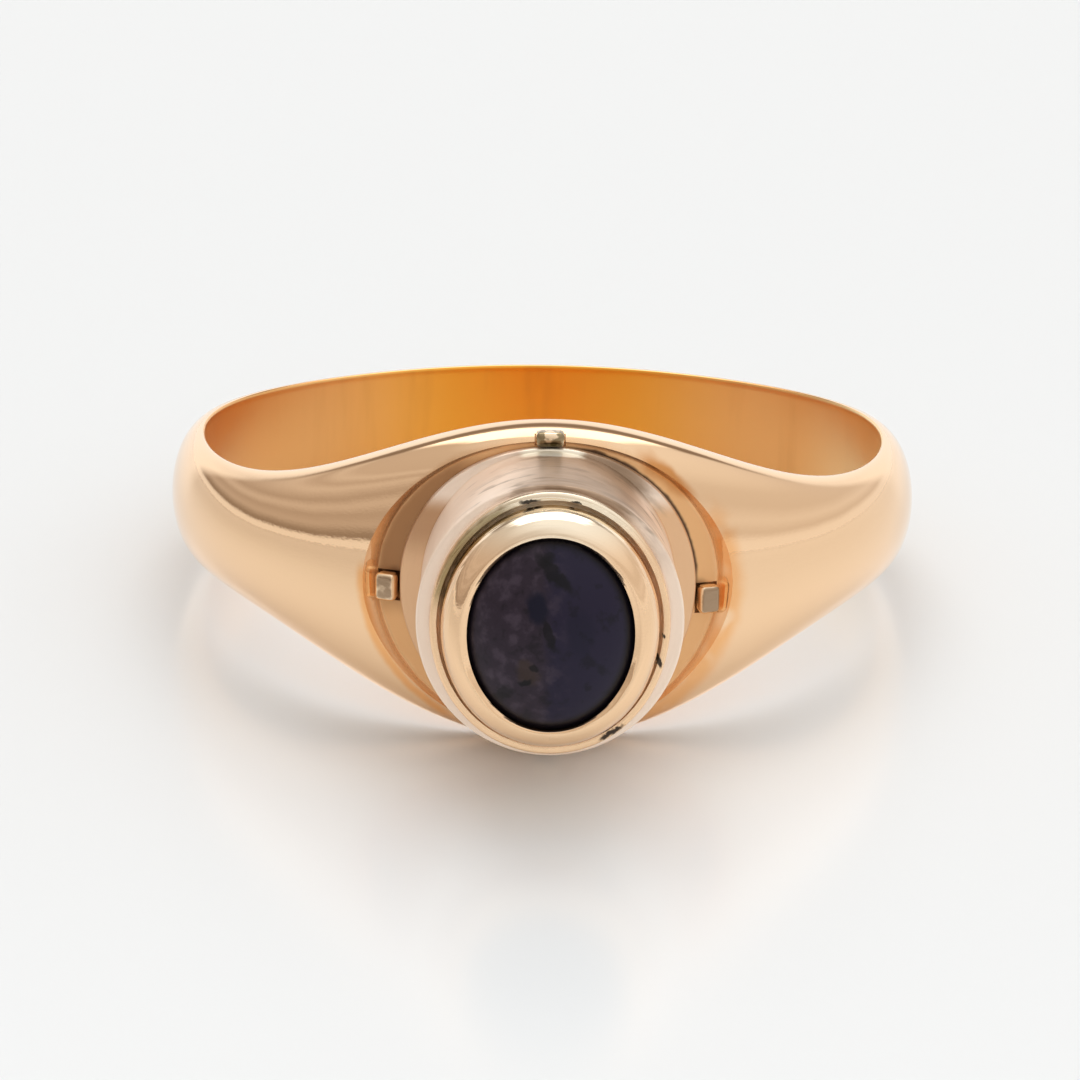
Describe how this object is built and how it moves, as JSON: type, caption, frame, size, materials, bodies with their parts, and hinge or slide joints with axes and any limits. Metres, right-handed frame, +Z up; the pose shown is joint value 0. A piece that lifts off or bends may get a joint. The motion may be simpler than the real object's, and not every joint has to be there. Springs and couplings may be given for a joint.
{
  "type": "oval cabochon sapphire ring",
  "caption": "Finger ring with flared shoulders: a tall oval bezel setting holds a dark sapphire cabochon, with small block studs round the setting's foot.",
  "frame": {"origin": "centre of the part's footprint box, on the surface that the ring lies on", "axes": "+Z up, +X to the right as the stone is seen from the front, +Y to the back of the band; the stone faces -Y. The ring lies on its side, and its finger hole leans 9.3 degrees from +Z towards +Y because the wide head lifts the front"},
  "size_m": [0.0198, 0.0252, 0.0085],
  "materials": {
    "gold_band": "polished reddish gold with fine wear, more saturated inside the hole",
    "gold_setting": "paler gold, polished bezel and finely brushed collar",
    "sapphire": "satin polished dark blue-violet stone with dark inclusions",
    "gold_studs": "polished gold with rounded edges"
  },
  "bodies": {
    "root": {"shank": "gold_band", "setting": "gold_setting", "star_sapphire": "sapphire", "stud_left": "gold_studs", "stud_right": "gold_studs", "stud_top": "gold_studs", "stud_bottom": "gold_studs"}
  },
  "joints": []
}
